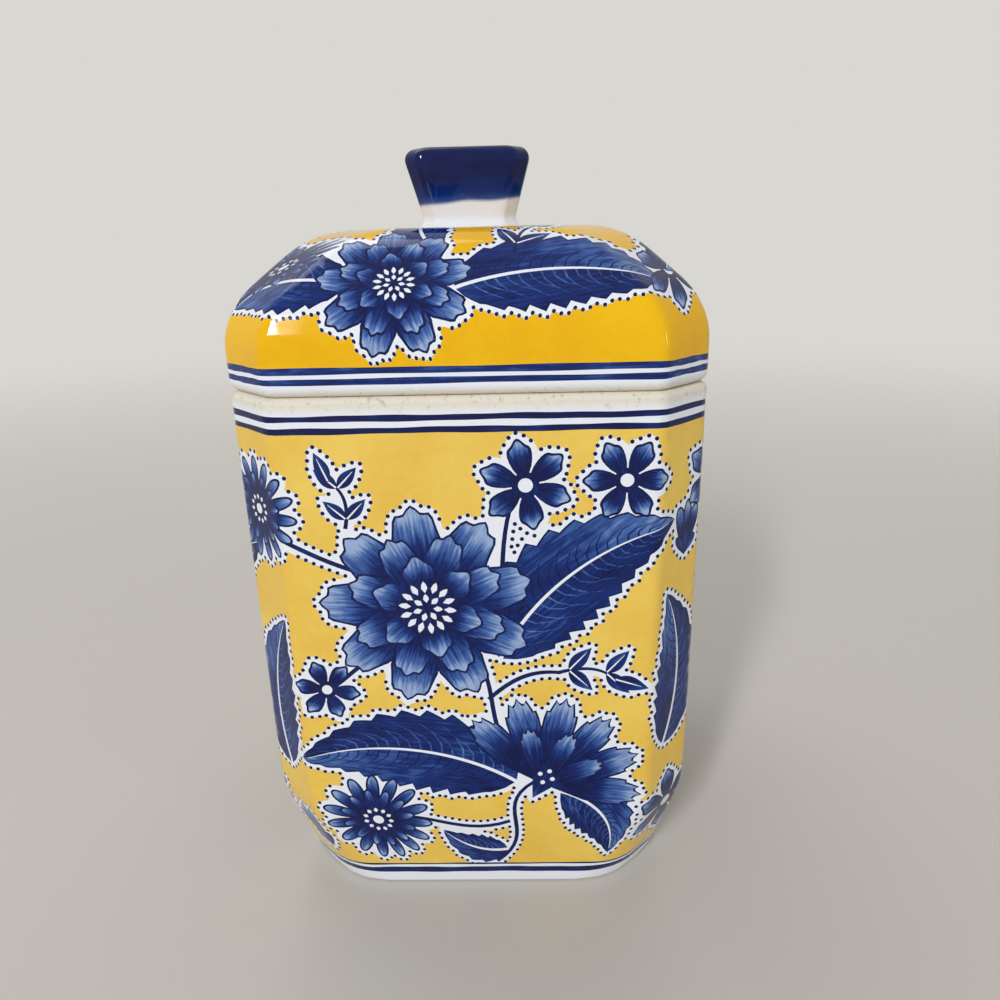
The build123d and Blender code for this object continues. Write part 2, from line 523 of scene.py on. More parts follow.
class Distances:
    """How far each place on a sheet lies from the nearest flower, less than nothing inside it."""

    def __init__(self, low, high, step):
        self.low = np.asarray(low, float)
        self.step = step
        self.held = np.full(np.ceil((np.asarray(high) - self.low) / step).astype(int) + 1, FAR)

    def window(self, points, margin):
        """The part of the grid round some points, and the places of its nodes."""
        low, step = self.low, self.step
        first = np.floor((points.min(axis=0) - margin - low) / step).astype(int)
        last = np.ceil((points.max(axis=0) + margin - low) / step).astype(int) + 1
        first = np.maximum(first, 0)
        last = np.maximum(np.minimum(last, self.held.shape), first)
        x = low[0] + np.arange(first[0], last[0]) * step
        y = low[1] + np.arange(first[1], last[1]) * step
        return self.held[first[0]:last[0], first[1]:last[1]], x[:, None], y[None, :]

    def sink(self, points):
        """Brings the distances down to those from one closed outline."""
        part, x, y = self.window(points, FAR / 2)
        nearest = np.full(part.shape, FAR * FAR)
        inside = np.zeros(part.shape, bool)
        for (ax, ay), (bx, by) in zip(points, np.roll(points, -1, axis=0)):
            dx, dy = bx - ax, by - ay
            span = dx * dx + dy * dy
            if span < SHORTEST ** 2:
                continue
            share = np.clip(((x - ax) * dx + (y - ay) * dy) / span, 0, 1)
            nearest = np.minimum(nearest, (x - ax - share * dx) ** 2 + (y - ay - share * dy) ** 2)
            if dy:
                inside ^= ((ay > y) != (by > y)) & (x < ax + (y - ay) * dx / dy)
        distance = np.sqrt(nearest)
        np.minimum(part, np.where(inside, -distance, distance), out=part)

    def contours(self, level):
        """Closed lines at one distance, with the nearer side on their left."""
        held = self.held.copy()
        held[[0, -1], :] = FAR
        held[:, [0, -1]] = FAR
        under = held < level
        kind = under[:-1, :-1] + 2 * under[1:, :-1] + 4 * under[1:, 1:] + 8 * under[:-1, 1:]
        onward = {}
        for i, j in zip(*np.nonzero((kind > 0) & (kind < 15))):
            edges = ((i, j, 0), (i + 1, j, 1), (i, j + 1, 0), (i, j, 1))
            for start, end in LINKS[int(kind[i, j])]:
                onward[edges[start]] = edges[end]
        loops = []
        while onward:
            first, at = onward.popitem()
            chain = [first]
            while at != first:
                chain.append(at)
                at = onward.pop(at)
            points = []
            for i, j, upright in chain:
                here = held[i, j]
                there = held[i, j + 1] if upright else held[i + 1, j]
                share = (level - here) / (there - here)
                points.append((i + share * (1 - upright), j + share * upright))
            loops.append(np.array(points) * self.step + self.low)
        return loops


def loop_area(points):
    """Signed area inside a closed line."""
    x, y = points.T
    return 0.5 * np.sum(x * np.roll(y, -1) - y * np.roll(x, -1))


def spaced(points, spacing):
    """Points at even steps round a closed line."""
    closed = np.vstack((points, points[:1]))
    marks = np.concatenate(((0,), np.cumsum(np.linalg.norm(np.diff(closed, axis=0), axis=1))))
    count = int(round(marks[-1] / spacing))
    places = np.arange(count) * marks[-1] / max(count, 1)
    return np.column_stack([np.interp(places, marks, column) for column in closed.T])


def bordered(marks, low, high, size, repeat=0.0):
    """Marks with a scalloped white border and a row of dots laid under and round them.

    On a sheet that repeats sideways, the dots of one repeat are copied to its neighbours.
    """
    field = Distances(low, high, repeat / round(repeat / GRID) if repeat else GRID)
    for one in marks:
        if one.body:
            field.sink(one.points)
    # Gaps between flowers that are too small to fill with yellow are left white, with no dots
    rows = [loop for loop in field.contours(size["dot_offset"]) if not -SMALL_GAP < loop_area(loop) < 0]
    dots = np.zeros((0, 2))
    for dot in (dot for loop in rows for dot in spaced(loop, size["dot_spacing"])):
        away = np.abs(dots - dot)
        if repeat:
            away[:, 0] = np.minimum(away[:, 0], repeat - away[:, 0])
        alone = np.all(np.hypot(*away.T) > CROWDED * size["dot_spacing"])
        if alone and (not repeat or abs(dot[0]) <= repeat / 2):
            dots = np.vstack((dots, dot))
    if repeat:
        dots = np.vstack([dots + (shift, 0) for shift in (-repeat, 0, repeat)])
        dots = dots[(dots[:, 0] > low[0]) & (dots[:, 0] < high[0])]
    field.held -= size["dot_offset"]
    for dot in dots:
        part, x, y = field.window(dot[None, :], size["dot_margin"] + 2 * GRID)
        np.minimum(part, np.hypot(x - dot[0], y - dot[1]) - size["dot_margin"], out=part)
    laid = []
    for loop in sorted(field.contours(0.0), key=lambda loop: -abs(loop_area(loop))):
        area = loop_area(loop)
        if area > 0 or area < -SMALL_GAP:
            laid.append(mark(loop, ink=WHITE if area > 0 else GROUND))
    for dot in dots:
        laid.append(mark(disc(*dot, size["dot_radius"], 8), (DOT_TONE, DOT_TONE)))
    return laid + marks


# Sheets: marks cut into one triangle mesh. Points nearer than MERGE become one, and each
# stroke's number, which keeps its streaks apart from its neighbours', comes again in turn.
Sheet = namedtuple("Sheet", "places faces paint brush")
FIRST_MERGE = 1e-5
MERGE = 0.02
STROKES = 97
STROKE_STEP = 3.7


def topmost(marks, places):
    """The number of the last mark that covers each place, or -1."""
    order = np.argsort(places[:, 1])
    x, y = places[order].T
    found = np.full(len(places), -1)
    for number, one in enumerate(marks):
        ends = np.searchsorted(y, one.points[:, 1])
        low, high = ends.min(), ends.max()
        within = np.zeros(high - low, bool)
        corners = zip(one.points, np.roll(one.points, -1, axis=0), ends, np.roll(ends, -1))
        for (ax, ay), (bx, by), i, j in corners:
            if i != j:
                i, j = min(i, j), max(i, j)
                within[i - low:j - low] ^= x[i:j] < ax + (y[i:j] - ay) * (bx - ax) / (by - ay)
        found[order[low:high][within]] = number
    return found


def triangles_over(points, edges, nearest):
    """Cuts the plane into triangles along edges, with points nearer than that made one."""
    cut = delaunay_2d_cdt([Vector(p) for p in points], edges, [], 0, nearest, False)
    return np.array([tuple(p) for p in cut[0]]), np.array(cut[2])


def seen_edges(triangles, owner):
    """Edges where one mark ends and another begins, and those round the outside."""
    edges = np.sort(triangles[:, (0, 1, 1, 2, 2, 0)].reshape(-1, 2), axis=1)
    held = np.repeat(owner, 3)
    order = np.lexsort(edges.T)
    edges, held = edges[order], held[order]
    same = np.all(edges[1:] == edges[:-1], axis=1) & (held[1:] == held[:-1])
    hidden = np.append(same, False) | np.append(False, same)
    return np.unique(edges[~hidden], axis=0)


def cut_sheet(outline, marks, grid, banding):
    """Cuts a sheet along every mark, and paints it. Marks that come later lie on top."""
    points, edges = [], []
    sheet = mark(outline, ink=GROUND)
    for one in [sheet] + marks:
        numbers = range(len(points), len(points) + len(one.points))
        edges.extend(zip(numbers, [*numbers[1:], numbers[0]]))
        points.extend(one.points)
    # The first cut finds which outlines show, and the second keeps only those
    for last, nearest in ((False, FIRST_MERGE), (True, MERGE)):
        places, triangles = triangles_over(points, edges, nearest)
        triangles = triangles[topmost([sheet], places[triangles].mean(axis=1)) == 0]
        owner = topmost(marks, places[triangles].mean(axis=1))
        if not last:
            edges = seen_edges(triangles, owner)
            used, edges = np.unique(edges, return_inverse=True)
            points = np.vstack((places[used], grid))
            edges = edges.reshape(-1, 2).tolist()
    used, triangles = np.unique(triangles, return_inverse=True)
    triangles = triangles.reshape(-1, 3)
    return Sheet(places[used], triangles, *sheet_paint(places[used], triangles, marks, owner, banding))


def sheet_paint(places, triangles, marks, owner, banding):
    """The paint at each triangle's corners, and how the brush went there.

    Paint is cobalt, how dark it is, yellow ground and bare clay. Brush holds millimetres along
    and across the stroke, and a number for the stroke. Marks with no axis of their own were
    banded on a wheel, and banding gives their way.
    """
    ink = np.array([one.ink for one in marks] + [GROUND])[owner]
    tones = np.array([one.tones for one in marks] + [(0, 0)])[owner]
    axis = np.array([one.axis for one in marks] + [STILL])[owner]
    at = places[triangles] - axis[:, None, 0]
    run = axis[:, 1] - axis[:, 0]
    span = np.linalg.norm(run, axis=1)
    way = run / span[:, None]
    distance = np.einsum("fcd,fd->fc", at, way)
    aside = at[..., 1] * way[:, None, 0] - at[..., 0] * way[:, None, 1]
    share = np.clip(distance / span[:, None], 0, 1)
    paint = np.zeros((len(triangles), 3, 4))
    paint[..., 0] = (ink == COBALT)[:, None]
    paint[..., 1] = between(tones[:, :1], tones[:, 1:], share)
    paint[..., 2] = (ink == GROUND)[:, None]
    banded = np.all(axis == np.asarray(STILL), axis=(1, 2))
    flow = banding(places)[triangles]
    distance[banded] = flow[banded][..., 0]
    aside[banded] = flow[banded][..., 1]
    number = np.broadcast_to((owner % STROKES)[:, None] * STROKE_STEP, aside.shape)
    return paint, np.stack((distance, aside, number), axis=-1)


def waver(turn, slow, slow_start, fast, fast_start):
    """How a hand strays from a line: slowly, and less far but faster."""
    return np.sin(turn * slow + slow_start) + 0.6 * np.sin(turn * fast + fast_start)


def stripe(left, right, low, high, dark=0.0, wobble=0.0, ink=COBALT, count=325):
    """A band painted right across a sheet by a hand that wavers a little."""
    x = np.linspace(left, right, count)
    turn = 2 * pi * (x - left) / (right - left)
    lower = low + wobble * waver(turn, 15, low, 39, 2 * low)
    upper = high + wobble * waver(turn, 18, high, 45, high)
    points = np.vstack((np.column_stack((x, lower)), np.column_stack((x, upper))[::-1]))
    return mark(points, (dark, dark), ink=ink)


# Wraps: how a flat sheet goes round the pot
class JarWrap:
    """Half of the jar's outside: u runs round it from the middle of the front, v up it."""

    def __init__(self, size, levels=240):
        heights = np.linspace(size["foot_edge"], size["jar_height"] - size["rim_outer"], levels)
        self.rows = jar_section(size, heights)
        self.travel = travel(self.rows)
        self.top = self.travel[-1]
        _, across, corner, rounding = self.rows[-1]
        spare = rounding * (tan(HALF_ARC) - HALF_ARC)
        self.arc = rounding * HALF_ARC
        self.flat = corner * sqrt(2) - across - spare
        self.cut = across * sqrt(2) - corner - spare
        self.quarter = 2 * (self.flat + self.cut)
        self.knee = self.level(size["knee_height"])

    def level(self, height):
        """Where a height lies up the sheet."""
        return float(np.interp(height, self.rows[:, 0], self.travel))

    def sides(self, u):
        """The side of the eight and the share across it at places along the sheet."""
        turns = np.floor((u + self.flat) / self.quarter)
        rest = u - turns * self.quarter
        on_cut = rest > self.flat
        share = np.where(on_cut, (rest - self.flat - self.cut) / self.cut, rest / self.flat)
        return (2 * turns + on_cut) % SIDES, np.clip(share, -1, 1)

    def place(self, u, v):
        """Points on the jar."""
        return ring_points(*self.sides(u), along(self.rows, v))

    def grid(self, spacing=9.0, bend=4, knee_reach=8.0):
        """Places that the sheet bends at: upright edges and the knee, and a few between."""
        columns = []
        for k in range(-2, 3):
            for middle, half in ((0, self.flat), (self.flat + self.cut, self.cut)):
                inner = half - 2 * self.arc
                even = np.linspace(-inner, inner, max(int(round(2 * inner / spacing)), 2) + 1)
                edge = np.linspace(inner, half, bend + 1)[1:]
                columns.append(k * self.quarter + middle + np.concatenate((-edge, even, edge)))
        columns = np.unique(np.round(np.concatenate(columns), 4))
        columns = columns[np.abs(columns) < self.quarter - MERGE]
        columns = np.concatenate(((-self.quarter,), columns, (self.quarter,)))
        levels = 0, self.knee - knee_reach, self.knee + knee_reach, self.top
        counts = 6, 11, 24
        rows = [np.linspace(*ends, count) for *ends, count in zip(levels, levels[1:], counts)]
        rows = np.unique(np.concatenate(rows))
        return [(u, v) for u in columns for v in rows]


class LidWrap:
    """The lid's outside, drawn flat round the middle of its crown.

    A point's distance from the sheet's edge, measured square to its side, is how far it lies
    up the lid from the lower edge.
    """

    def __init__(self, size):
        self.rows = lid_section(size, 0.0, size["lid_edge"])
        self.travel = travel(self.rows)
        self.total = self.travel[-1]
        _, across, corner, _ = self.rows[0]
        self.lean = corner / across
        self.flat_share = self.lean * sqrt(2) - 1
        self.cut_share = sqrt(2) - self.lean

    def level(self, height):
        """How far up the lid a height on its skirt lies."""
        return height - self.rows[0, 0]

    def sides(self, x, y):
        """The side of the eight, the share across it and the distance in from the edge."""
        best = np.full(np.shape(x), -1.0)
        side = np.zeros(np.shape(x))
        share = np.zeros(np.shape(x))
        for k in range(SIDES):
            turn = facing(k)
            flat = k % 2 == 0
            out = (x * cos(turn) + y * sin(turn)) / (1 if flat else self.lean)
            half = out * (self.flat_share if flat else self.cut_share)
            run = y * cos(turn) - x * sin(turn)
            nearer = out > best
            best = np.where(nearer, out, best)
            side = np.where(nearer, k, side)
            share = np.where(nearer, run / np.maximum(half, TINY), share)
        return side, np.clip(share, -1, 1), self.total - best

    def place(self, x, y):
        """Points on the lid."""
        side, share, inset = self.sides(x, y)
        return ring_points(side, share, along(self.rows, np.clip(inset, 0, self.total)))

    def sheet(self, side, share, inset):
        """Places on the sheet."""
        out = self.total - inset
        flat = side % 2 == 0
        turn = facing(side)
        far = out * np.where(flat, 1, self.lean)
        run = share * out * np.where(flat, self.flat_share, self.cut_share)
        return np.column_stack((
            far * np.cos(turn) - run * np.sin(turn), far * np.sin(turn) + run * np.cos(turn)))

    def laid(self, marks, face, highest=0.8):
        """Marks drawn upright before one face, across from its middle and up from the edge.

        Past the highest share of the way to the crown's middle, a face counts as wide as it is there.
        """
        def moved(points):
            x, inset = points.T
            rows = along(self.rows, np.clip(inset, 0, self.total * highest))
            half_flat = rows[:, 2] * sqrt(2) - rows[:, 1]
            half_cut = rows[:, 1] * sqrt(2) - rows[:, 2]
            far, way = np.abs(x), np.sign(x)
            on_cut = far > half_flat
            on_next = far > half_flat + 2 * half_cut
            share = np.where(on_cut, way * (far - half_flat - half_cut) / half_cut, x / half_flat)
            share = np.where(on_next, way * (far - 2 * half_flat - 2 * half_cut) / half_flat, share)
            side = (2 * face + way * (on_cut.astype(int) + on_next)) % SIDES
            return self.sheet(side, share, inset)
        return [one._replace(points=moved(one.points), axis=moved(one.axis)) for one in marks]

    def ring(self, inset, spacing=2.2, wobble=0.0):
        """Points round the sheet at a distance in from its edge."""
        side, share = [], []
        for k in range(SIDES):
            half = (self.total - inset) * (self.flat_share if k % 2 == 0 else self.cut_share)
            count = max(int(round(2 * half / spacing)), 1)
            side.append(np.full(count, k))
            share.append(np.linspace(-1, 1, count + 1)[:-1])
        side, share = np.concatenate(side), np.concatenate(share)
        turn = 2 * pi * (side + share / 2) / SIDES
        strayed = inset + wobble * waver(turn, 11, inset, 27, 2 * inset)
        return self.sheet(side, share, strayed)

    def grid(self, rings=40, middle=3.0, apart=0.6):
        """Places that the sheet bends at, ring by ring, and the crown's middle."""
        even = np.linspace(0, self.total - middle, rings)
        insets = np.unique(np.round(np.concatenate((self.travel[:-1], even)), 3))
        insets = insets[np.concatenate(((True,), np.diff(insets) > apart))]
        return np.vstack([self.ring(inset) for inset in insets] + [np.zeros((1, 2))])

    def banding(self, places):
        """Millimetres round the lid, about as at its edge, and up it."""
        side_length = self.total * 0.75
        side, share, inset = self.sides(*places.T)
        return np.column_stack(((side + share / 2) * side_length, inset))


# Meshes
def make_piece(name, points, faces, paint, brush, normals, material, body, node):
    """A closed painted mesh that rides on a body in place of its CAD node."""
    mesh = bpy.data.meshes.new(name)
    mesh.from_pydata(points * MM, [], faces)
    mesh.polygons.foreach_set("use_smooth", np.ones(len(faces), bool))
    layer = mesh.attributes.new("paint", "FLOAT_COLOR", "CORNER")
    layer.data.foreach_set("color", np.ascontiguousarray(paint, np.float32).ravel())
    layer = mesh.attributes.new("brush", "FLOAT_VECTOR", "CORNER")
    layer.data.foreach_set("vector", np.ascontiguousarray(brush, np.float32).ravel())
    mesh.update()
    smooth = np.empty(len(points) * 3, np.float32)
    mesh.vertex_normals.foreach_get("vector", smooth)
    smooth = smooth.reshape(-1, 3)
    smooth[:len(normals)] = normals
    mesh.normals_split_custom_set_from_vertices(smooth)
    mesh.materials.append(material)
    piece = bpy.data.objects.new(name, mesh)
    bpy.context.scene.collection.objects.link(piece)
    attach(piece, body)
    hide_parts(node)


def surface_normals(place, first, second, step=0.02):
    """Outward normals of a surface given as a function of two coordinates."""
    over = place(first + step, second) - place(first - step, second)
    up = place(first, second + step) - place(first, second - step)
    normals = np.cross(over, up)
    return normals / np.linalg.norm(normals, axis=1)[:, None]


def swept(ring_side, ring_share, rows, start, first, clay):
    """Rings of quads from an open edge through sections, closed by a fan at the middle.

    start holds the edge's own points, in order round the pot, and first is the number of the
    first new point. clay says how bare each ring is. The faces look to the left of the
    direction of travel.
    """
    count = len(start)
    points, faces, bare = [], [], []
    ring = list(start)
    bare_before = clay[0]
    for row, bare_now in zip(rows, clay[1:]):
        points.append(ring_points(ring_side, ring_share, np.repeat(row[None, :], count, axis=0)))
        new = list(range(first, first + count))
        first += count
        for i in range(count):
            j = (i + 1) % count
            faces.append((ring[i], ring[j], new[j], new[i]))
            bare.append((bare_before, bare_before, bare_now, bare_now))
        ring, bare_before = new, bare_now
    points.append(np.array(((0, 0, rows[-1][0]),)))
    for i in range(count):
        faces.append((ring[i], ring[(i + 1) % count], first))
        bare.append((bare_before,) * 3)
    return np.vstack(points), faces, bare


def bare_paint(bare):
    """Paint values of faces that carry nothing but clay or clear glaze."""
    flat = [value for face in bare for value in face]
    paint = np.zeros((len(flat), 4))
    paint[:, 3] = flat
    return paint


def edge_points(off, order):
    """Numbers of the points that lie on an open edge, in order round it."""
    nearly = 0.001
    found = np.nonzero(np.abs(off) < nearly)[0]
    return found[np.argsort(order[found])]


# Materials
def emptied(owner):
    """The node tree of a material or a world, with no nodes in it yet."""
    owner.use_nodes = True
    owner.node_tree.nodes.clear()
    return owner.node_tree


def add(tree, kind, inputs, **settings):
    """Adds a node, sets its settings, and sets or links its inputs."""
    made = tree.nodes.new(kind)
    for name, value in settings.items():
        setattr(made, name, value)
    for socket, value in inputs.items():
        if isinstance(value, bpy.types.NodeSocket):
            tree.links.new(value, made.inputs[socket])
        else:
            made.inputs[socket].default_value = value
    return made


def painted_glaze(name, tone, ground, ground_deep, streak=1.0):
    """Slip-cast white ware, painted in cobalt and enamel yellow under a fired clear glaze.

    It gives hard, mirror-like highlights over soft colour: the cobalt pools and streaks along
    each brush stroke, the yellow is mottled where it lies thicker, and the unglazed edges are
    dull, cream and speckled.
    """
    material = bpy.data.materials.new(name)
    tree = emptied(material)
    place = add(tree, "ShaderNodeTexCoord", {}).outputs["Object"]
    paint = add(tree, "ShaderNodeAttribute", {}, attribute_name="paint")
    brush = add(tree, "ShaderNodeAttribute", {}, attribute_name="brush")
    parts = add(tree, "ShaderNodeSeparateColor", {0: paint.outputs["Color"]})
    bare = paint.outputs["Alpha"]

    # Sizes in millimetres: pools of cobalt wash, clouds and mottling of the yellow, the clay's
    # kiln grit, whose specks come out at about 0.5, its sandy tooth, and the glaze's ripple
    noise = {}
    for pattern, across, detail in (
        ("pools", 6, 3), ("clouds", 22, 2), ("mottle", 2.5, 2), ("grit", 1.4, 4), ("tooth", 0.4, 2),
        ("ripple", 11, 1),
    ):
        scale = 1 / (across * MM)
        made = add(tree, "ShaderNodeTexNoise", {"Vector": place, "Scale": scale, "Detail": detail})
        noise[pattern] = made.outputs[0]

    # Brush hairs leave streaks about 0.8 mm apart and 9 mm long, which darken the wash as pools do
    combing = (1 / 9, 1 / 0.8, 1)
    combed = add(
        tree, "ShaderNodeVectorMath", {0: brush.outputs["Vector"], 1: combing}, operation="MULTIPLY")
    hairs = add(tree, "ShaderNodeTexNoise", {"Vector": combed.outputs[0], "Scale": 1.0, "Detail": 2.0})
    shade = parts.outputs[1]
    for pattern, paler, darker in ((hairs.outputs[0], -0.2, 0.16), (noise["pools"], -0.12, 0.1)):
        change = add(
            tree, "ShaderNodeMapRange",
            {0: pattern, 1: 0.3, 2: 0.7, 3: paler * streak, 4: darker * streak})
        shade = add(tree, "ShaderNodeMath", {0: shade, 1: change.outputs[0]}, operation="ADD").outputs[0]
    ramp = add(tree, "ShaderNodeValToRGB", {0: shade})
    stops = ramp.color_ramp.elements
    stops[0].color = tone["cobalt_wash"]
    stops[1].color = tone["cobalt_dark"]
    stops.new(0.32).color = tone["cobalt_light"]
    stops.new(0.66).color = tone["cobalt"]

    # Yellow enamel lies unevenly, and the specks darken the bare clay
    uneven = add(
        tree, "ShaderNodeMath", {0: noise["mottle"], 1: 0.35, 2: noise["clouds"]},
        operation="MULTIPLY_ADD")
    uneven = add(tree, "ShaderNodeMapRange", {0: uneven.outputs[0], 1: 0.45, 2: 0.9})
    specks = add(tree, "ShaderNodeMapRange", {0: noise["grit"], 1: 0.58, 2: 0.72, 4: 0.55})
    yellow = add(
        tree, "ShaderNodeMix", {0: uneven.outputs[0], 6: ground, 7: ground_deep}, data_type="RGBA")
    clay = add(
        tree, "ShaderNodeMix", {0: specks.outputs[0], 6: tone["bisque"], 7: tone["grit"]},
        data_type="RGBA")

    # White ware, with the yellow, the cobalt and the bare clay over it in turn
    base = tone["white"]
    for share, over in (
        (parts.outputs[2], yellow.outputs[2]), (parts.outputs[0], ramp.outputs[0]),
        (bare, clay.outputs[2]),
    ):
        base = add(tree, "ShaderNodeMix", {0: share, 6: base, 7: over}, data_type="RGBA").outputs[2]

    # The glaze ripples less than a hair deep, and the bare clay is rough
    rough = add(tree, "ShaderNodeMapRange", {0: bare, 3: 0.07, 4: 0.8})
    toothed = add(tree, "ShaderNodeMath", {0: noise["tooth"], 1: bare}, operation="MULTIPLY")
    relief = add(
        tree, "ShaderNodeMath", {0: toothed.outputs[0], 1: 0.6, 2: noise["ripple"]},
        operation="MULTIPLY_ADD")
    bump = add(
        tree, "ShaderNodeBump", {"Height": relief.outputs[0], "Strength": 0.5, "Distance": 0.16 * MM})
    shader = add(
        tree, "ShaderNodeBsdfPrincipled",
        {"Base Color": base, "Roughness": rough.outputs[0], "IOR": 1.45,
         "Specular IOR Level": 0.32, "Normal": bump.outputs[0]})
    add(tree, "ShaderNodeOutputMaterial", {"Surface": shader.outputs[0]})
    return material


def wiped_ware(tone):
    """Slip-cast white ware under a thin wiped glaze.

    It gives a dull satin white that turns cream and speckled where the clay shows through.
    """
    material = bpy.data.materials.new("Wiped white ware")
    tree = emptied(material)
    place = add(tree, "ShaderNodeTexCoord", {}).outputs["Object"]
    # The wiped glaze breaks in patches about 9 mm across, over clay with 1.5 mm specks
    wipe = add(tree, "ShaderNodeTexNoise", {"Vector": place, "Scale": 1 / (9 * MM), "Detail": 4.0})
    wipe = add(tree, "ShaderNodeMapRange", {0: wipe.outputs[0], 1: 0.36, 2: 0.68, 3: 0.3, 4: 0.9})
    grit = add(tree, "ShaderNodeTexNoise", {"Vector": place, "Scale": 1 / (1.5 * MM), "Detail": 4.0})
    grit = add(tree, "ShaderNodeMapRange", {0: grit.outputs[0], 1: 0.6, 2: 0.74, 4: 0.5})
    clay = add(
        tree, "ShaderNodeMix", {0: grit.outputs[0], 6: tone["bisque"], 7: tone["grit"]}, data_type="RGBA")
    base = add(
        tree, "ShaderNodeMix", {0: wipe.outputs[0], 6: tone["white"], 7: clay.outputs[2]},
        data_type="RGBA")
    rough = add(tree, "ShaderNodeMapRange", {0: wipe.outputs[0], 3: 0.3, 4: 0.75})
    bump = add(
        tree, "ShaderNodeBump", {"Height": grit.outputs[0], "Strength": 0.4, "Distance": 0.1 * MM})
    shader = add(
        tree, "ShaderNodeBsdfPrincipled",
        {"Base Color": base.outputs[2], "Roughness": rough.outputs[0], "IOR": 1.5,
         "Normal": bump.outputs[0]})
    add(tree, "ShaderNodeOutputMaterial", {"Surface": shader.outputs[0]})
    return material


def backdrop_rays(tree):
    """Whether a ray comes from the camera, a gloss or glass, and so meets the pale backdrop."""
    path = add(tree, "ShaderNodeLightPath", {}).outputs
    seen = path["Is Camera Ray"]
    for kind in ("Is Glossy Ray", "Is Transmission Ray"):
        seen = add(tree, "ShaderNodeMath", {0: seen, 1: path[kind]}, operation="MAXIMUM").outputs[0]
    return seen


def matt_board(tone):
    """Matt painted board, an even dull grey that runs out into the backdrop away from the pot."""
    near, far = 0.25, 1.5
    material = bpy.data.materials.new("Floor, matt painted board")
    tree = emptied(material)
    place = add(tree, "ShaderNodeTexCoord", {}).outputs["Object"]
    away = add(tree, "ShaderNodeVectorMath", {0: place}, operation="LENGTH")
    away = add(
        tree, "ShaderNodeMapRange", {0: away.outputs["Value"], 1: near, 2: far},
        interpolation_type="SMOOTHSTEP")
    faded = add(
        tree, "ShaderNodeMath", {0: backdrop_rays(tree), 1: away.outputs[0]}, operation="MULTIPLY")
    board = add(tree, "ShaderNodeBsdfPrincipled", {"Base Color": tone["floor"], "Roughness": 0.6})
    glow = add(tree, "ShaderNodeEmission", {"Color": tone["backdrop"], "Strength": 1.0})
    mixed = add(
        tree, "ShaderNodeMixShader", {0: faded.outputs[0], 1: board.outputs[0], 2: glow.outputs[0]})
    add(tree, "ShaderNodeOutputMaterial", {"Surface": mixed.outputs[0]})
    return material


def studio(tone):
    """Soft even light from all round, with a pale backdrop for the eye and the gloss."""
    world = bpy.data.worlds.new("Studio")
    tree = emptied(world)
    soft = add(tree, "ShaderNodeBackground", {"Color": (1, 1, 1, 1), "Strength": 0.36})
    backdrop = add(tree, "ShaderNodeBackground", {"Color": tone["backdrop"], "Strength": 1.0})
    mixed = add(
        tree, "ShaderNodeMixShader",
        {0: backdrop_rays(tree), 1: soft.outputs[0], 2: backdrop.outputs[0]})
    add(tree, "ShaderNodeOutputWorld", {"Surface": mixed.outputs[0]})
    return world


# The jar. Heights are in millimetres. A blue band has its lower and upper edge, how dark it
# is and how far the hand wavers. Above the upper bands the glaze was wiped off the rim.
JAR_BANDS = (
    (5.0, 7.4, 0.95, 0.12), (8.6, 9.3, 0.95, 0.08), (158.2, 159.9, 1.05, 0.1), (161.6, 163.3, 1.05, 0.1),
)
WHITE_FOOT = 9.0
WHITE_RIM = 159.7
WIPED_RIM = 164.3
WIPED_FADE = 0.6


def jar_flowers():
    """Flowers for half of the way round the jar, from the middle of the front."""
    marks = []
    # Stems first, so that the flowers lie over their ends
    for points in (
        ((6, 9), (22, 22), (2, 34), (18, 44)), ((18, 46), (-4, 66), (14, 80), (-8, 100)),
        ((4, 90), (12, 108), (6, 124), (14, 142)), ((10, 28), (-8, 20), (-20, 36), (-34, 28)),
        ((-30, 116), (-44, 120), (-54, 128), (-64, 132)), ((114, 9), (100, 26), (136, 34), (134, 54)),
        ((132, 62), (144, 88), (110, 86), (104, 104)), ((106, 98), (92, 110), (90, 124), (80, 140)),
        ((140, 40), (154, 26), (158, 38), (168, 28)), ((138, 84), (152, 100), (140, 122), (150, 142)),
        ((4, 74), (12, 82), (18, 84), (26, 83)), ((-24, 92), (-34, 88), (-38, 82), (-44, 78)),
    ):
        marks += stem(*points)
    return marks + bunch(
        (leaf, 8, 88, -42, 66, 17, 11, 11), (leaf, 12, 44, 74, 68, 16, -11, 11),
        (leaf, 26, 40, -130, 34, 11, 7, 8), (leaf, 60, 54, -8, 52, 12, -9, 9),
        (leaf, -64, 46, 2, 54, 12, 9, 9), (leaf, 10, 15, 80, 24, 7, 5, 6),
        (leaf, 140, 78, -38, 66, 17, 11, 11), (leaf, 108, 62, 40, 44, 12, -8, 9),
        (leaf, 118, 36, 112, 46, 13, 8, 9),
        (sprig, 164, 60, -30, 22, 3), (sprig, 122, 126, 14, 24, 3),
        (sprig, -35, 130, 2, 20, -3), (sprig, 25, 83, -88, 24, 3),
        (bud, 66, 117, -4, 16), (bud, -56, 14, 30, 16),
        (carnation, 20, 43, -28, 31), (carnation, 104, 106, 18, 28),
        (peony, -13, 105, 6, 31), (peony, 134, 56, -4, 29),
        (aster, -34, 29, 0, 18), (aster, 168, 28, 8, 17), (aster, 190, 134, 0, 16),
        (blossom, 16, 142, 10, 13), (blossom, 80, 140, 0, 14), (blossom, 150, 141, 22, 14),
        (blossom, 66, 28, 8, 14), (blossom, -45, 78, 20, 10), (blossom, 44, 143, 30, 12),
    )


